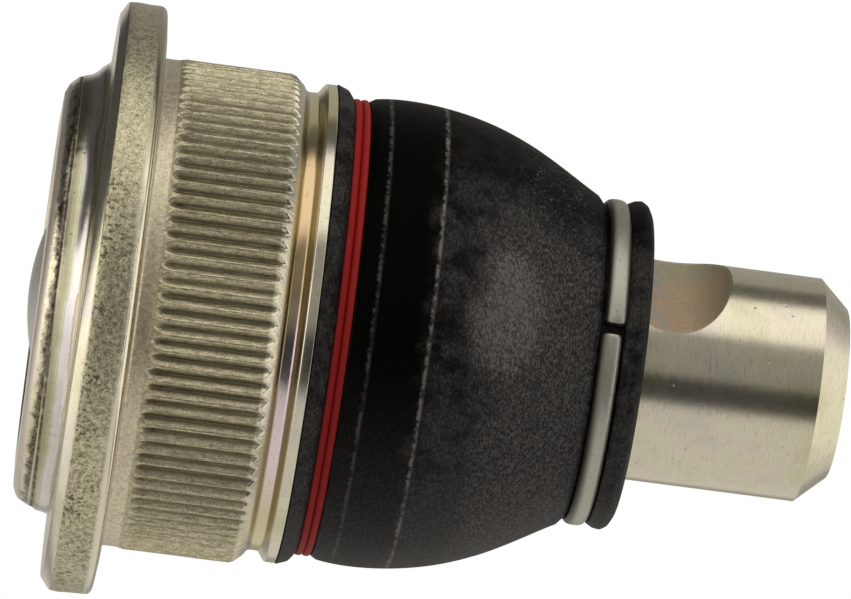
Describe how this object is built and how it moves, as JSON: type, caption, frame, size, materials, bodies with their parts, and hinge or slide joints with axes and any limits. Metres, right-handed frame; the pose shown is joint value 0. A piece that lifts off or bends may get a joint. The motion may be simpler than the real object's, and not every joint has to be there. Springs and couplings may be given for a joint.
{
  "type": "suspension ball joint",
  "caption": "Press-in suspension ball joint: flanged steel housing with serrated press band, rubber boot with clamp rings, and a plain round stud with a pinch-bolt notch.",
  "frame": {"origin": "the swivel centre, the middle of the stud's ball", "axes": "+Z along the stud, out of the boot; -Z through the cover plate, on which the joint stands; the pinch-bolt notch faces -Y and its bolt runs along X"},
  "size_m": [0.0474, 0.0474, 0.065],
  "materials": {
    "zinc_housing": "zinc plated, forged rim and turned faces",
    "zinc_cover": "pressed sheet, dull zinc",
    "stud_steel": "fine turned, zinc plated",
    "shell_plastic": "moulded acetal",
    "boot_rubber": "matt black rubber with a fine dusty grain",
    "ring_red": "satin dark red paint on wire",
    "ring_wire": "drawn, galvanised wire"
  },
  "bodies": {
    "housing": {"housing": "zinc_housing", "cover_plate": "zinc_cover", "bearing_shell": "shell_plastic", "boot_base_ring": "ring_red"},
    "boot": {"dust_boot": "boot_rubber"},
    "boot_neck": {"boot_neck_ring": "ring_wire"},
    "stud": {"ball_stud": "stud_steel"}
  },
  "joints": [
    {"name": "tilt_x", "type": "hinge", "parent": "housing", "child": "boot", "pos_m": [0, 0, 0], "axis": [1, 0, 0], "range_deg": [-20, 20], "deforming": ["dust_boot"]},
    {"name": "tilt_y", "type": "hinge", "parent": "boot", "child": "boot_neck", "pos_m": [0, 0, 0], "axis": [0, 1, 0], "range_deg": [-20, 20]},
    {"name": "stud_spin", "type": "hinge", "parent": "boot_neck", "child": "stud", "pos_m": [0, 0, 0], "axis": [0, 0, 1], "continuous": true}
  ]
}
